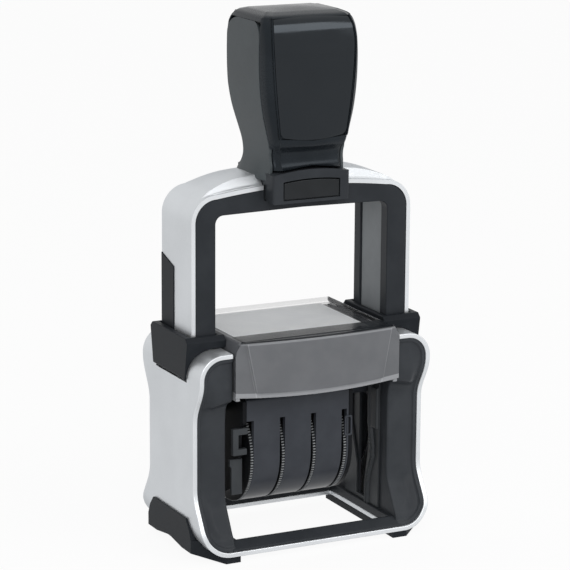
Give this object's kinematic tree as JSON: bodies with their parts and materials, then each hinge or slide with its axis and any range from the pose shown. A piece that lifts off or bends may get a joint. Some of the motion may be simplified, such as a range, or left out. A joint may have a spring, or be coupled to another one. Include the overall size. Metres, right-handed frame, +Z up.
{
  "type": "self-inking date stamp",
  "caption": "Self-inking date stamp: a sprung bridge with a hand grip over a two-column base, and a carriage of date wheels that turns over onto the paper.",
  "frame": {"origin": "On the ground under the middle of the base, midway between the columns and between front and back.", "axes": "+Z up along the travel of the bridge, +X to the right along the die, +Y from the front with the lock button to the rear where the ink cartridge comes out."},
  "size_m": [0.0676, 0.0424, 0.141],
  "materials": {
    "silver_paint": "satin silver paint",
    "black_plastic": "fine satin moulding",
    "soft_grip": "soft-touch matte",
    "gloss_plate": "polished",
    "smoky_plastic": "smoky translucent, polished edges",
    "card": "smooth white card",
    "ink_felt": "ink-soaked felt",
    "band_rubber": "dull rubber",
    "spring_steel": "bright drawn wire"
  },
  "bodies": {
    "base": {"base_shell": "silver_paint", "base_frame": "black_plastic", "foot_right": "black_plastic", "foot_left": "black_plastic", "collar_right": "black_plastic", "collar_left": "black_plastic", "guide_plate_right": "black_plastic", "guide_plate_left": "black_plastic", "pad_cover": "smoky_plastic", "index_card": "card", "card_tray": "black_plastic", "return_spring_right": "spring_steel", "return_spring_left": "spring_steel"},
    "cartridge": {"ink_tray": "black_plastic", "ink_pad": "ink_felt", "cartridge_grip": "black_plastic"},
    "bridge": {"bridge_front_frame": "black_plastic", "bridge_rear_frame": "black_plastic", "bridge_liner": "black_plastic", "bridge_skin_right": "silver_paint", "bridge_skin_left": "silver_paint", "leg_rib_right": "black_plastic", "leg_rib_left": "black_plastic", "neck_block": "black_plastic", "lock_spring": "spring_steel", "handle_core": "black_plastic", "handle_side_right": "soft_grip", "handle_side_left": "soft_grip", "handle_bezel_front": "black_plastic", "handle_bezel_rear": "black_plastic", "handle_plate_front": "gloss_plate", "handle_plate_rear": "gloss_plate"},
    "button": {"lock_button": "black_plastic"},
    "carriage": {"cassette_shell": "black_plastic", "end_plate_left": "black_plastic", "end_plate_right": "black_plastic", "pivot_pin_left": "black_plastic", "pivot_pin_right": "black_plastic", "wheel_shaft": "spring_steel", "wheel_hook": "black_plastic", "band_nose": "black_plastic", "date_band_day_tens": "band_rubber", "date_band_day_units": "band_rubber", "date_band_month": "band_rubber", "date_band_year": "band_rubber"},
    "day_tens_wheel": {"date_wheel_day_tens": "black_plastic"},
    "day_units_wheel": {"date_wheel_day_units": "black_plastic"},
    "month_wheel": {"date_wheel_month": "black_plastic"},
    "year_wheel": {"date_wheel_year": "black_plastic"}
  },
  "joints": [
    {"name": "bridge_slide", "type": "slide", "parent": "base", "child": "bridge", "axis": [0, 0, -1], "range_m": [0, 0.028], "stiffness_N_per_m": 280, "springref_m": -0.02, "deforming": ["return_spring_right", "return_spring_left"]},
    {"name": "carriage_flip", "type": "hinge", "parent": "bridge", "child": "carriage", "pos_m": [0, 0, 0.03725], "axis": [1, 0, 0], "range_deg": [0, 180]},
    {"name": "lock_press", "type": "slide", "parent": "bridge", "child": "button", "axis": [0, 1, 0], "range_m": [0, 0.001], "stiffness_N_per_m": 300, "springref_m": -0.001, "deforming": ["lock_spring"]},
    {"name": "cartridge_pull", "type": "slide", "parent": "base", "child": "cartridge", "axis": [0, 1, 0], "range_m": [0, 0.04]},
    {"name": "day_tens_turn", "type": "hinge", "parent": "carriage", "child": "day_tens_wheel", "pos_m": [-0.0171, 0, 0.0252], "axis": [1, 0, 0], "continuous": true},
    {"name": "day_units_turn", "type": "hinge", "parent": "carriage", "child": "day_units_wheel", "pos_m": [-0.0081, 0, 0.0252], "axis": [1, 0, 0], "continuous": true},
    {"name": "month_turn", "type": "hinge", "parent": "carriage", "child": "month_wheel", "pos_m": [0.0009, 0, 0.0252], "axis": [1, 0, 0], "continuous": true},
    {"name": "year_turn", "type": "hinge", "parent": "carriage", "child": "year_wheel", "pos_m": [0.0099, 0, 0.0252], "axis": [1, 0, 0], "continuous": true}
  ],
  "couplings": [
    {"joint": "carriage_flip", "follows": "bridge_slide", "rad_per_m": 112.19}
  ]
}
